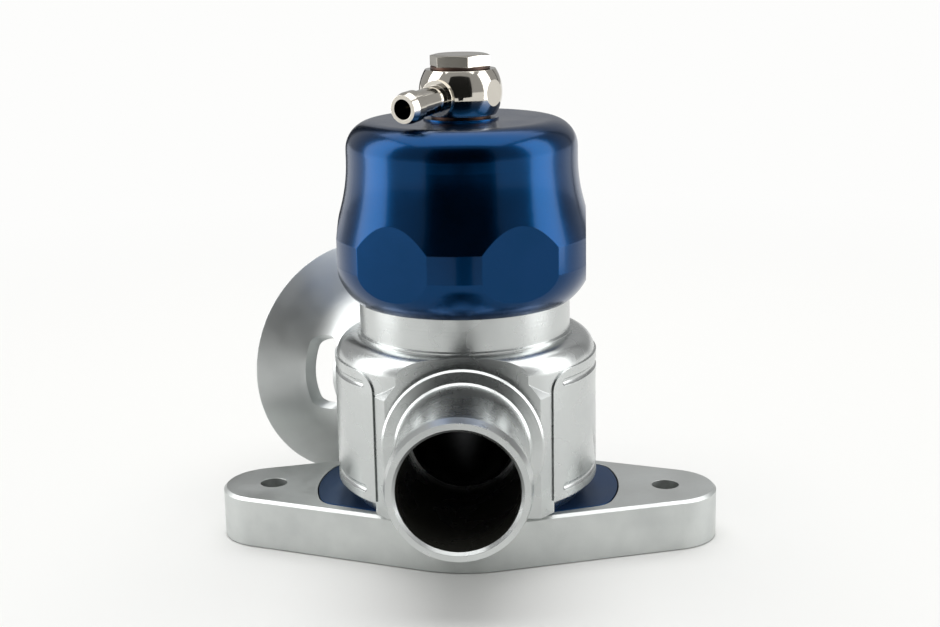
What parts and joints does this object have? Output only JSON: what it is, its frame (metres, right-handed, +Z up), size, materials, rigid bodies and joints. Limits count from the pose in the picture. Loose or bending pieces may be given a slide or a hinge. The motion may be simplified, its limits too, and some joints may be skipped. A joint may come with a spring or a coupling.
{
  "type": "blow-off valve",
  "caption": "Blow-off valve with a bell-shaped blue cap, spring-loaded piston, front hose tail, slotted trumpet, swivelling banjo nipple and a diamond-shaped bolt-on flange.",
  "frame": {"origin": "centre of the inlet in the flange's underside, on the valve axis", "axes": "+Z up along the valve axis, X along the flange's bolt line, -Y to the front, where the recirculation hose tail points"},
  "size_m": [0.1206, 0.1199, 0.1164],
  "materials": {
    "machined_aluminium": "fine turned and milled, satin clear anodised",
    "blue_anodised": "polished, deep blue anodised",
    "hard_anodised": "dark hard anodised, ground on the skirt",
    "nickel_plate": "bright nickel plate on brass",
    "seal_rubber": "smooth black nitrile",
    "spring_steel": "drawn and shot-peened wire",
    "zinc_steel": "zinc plated",
    "ptfe": "machined off-white PTFE",
    "copper": "annealed copper"
  },
  "bodies": {
    "valve": {"flange_plate": "machined_aluminium", "valve_body": "machined_aluminium", "recirc_tail": "machined_aluminium", "trumpet": "machined_aluminium", "adapter_plate": "blue_anodised", "cap": "blue_anodised", "banjo_bolt": "nickel_plate", "flange_face_ring": "seal_rubber", "base_ring": "seal_rubber", "recirc_ring": "seal_rubber", "trumpet_ring": "seal_rubber", "cap_ring": "seal_rubber", "main_spring": "spring_steel", "adapter_screws": "zinc_steel", "spring_seat": "ptfe", "banjo_washer_lower": "copper", "banjo_washer_upper": "copper"},
    "piston": {"piston": "hard_anodised", "piston_seal": "seal_rubber", "piston_guide_ring": "ptfe", "piston_nose_seal": "seal_rubber"},
    "banjo": {"banjo_ball": "nickel_plate", "vacuum_nipple": "nickel_plate"}
  },
  "joints": [
    {"name": "piston_lift", "type": "slide", "parent": "valve", "child": "piston", "axis": [0, 0, 1], "range_m": [0, 0.018], "stiffness_N_per_m": 1500, "springref_m": -0.008, "deforming": ["main_spring"]},
    {"name": "banjo_swivel", "type": "hinge", "parent": "valve", "child": "banjo", "pos_m": [0, 0, 0.1078], "axis": [0, 0, 1], "continuous": true}
  ]
}
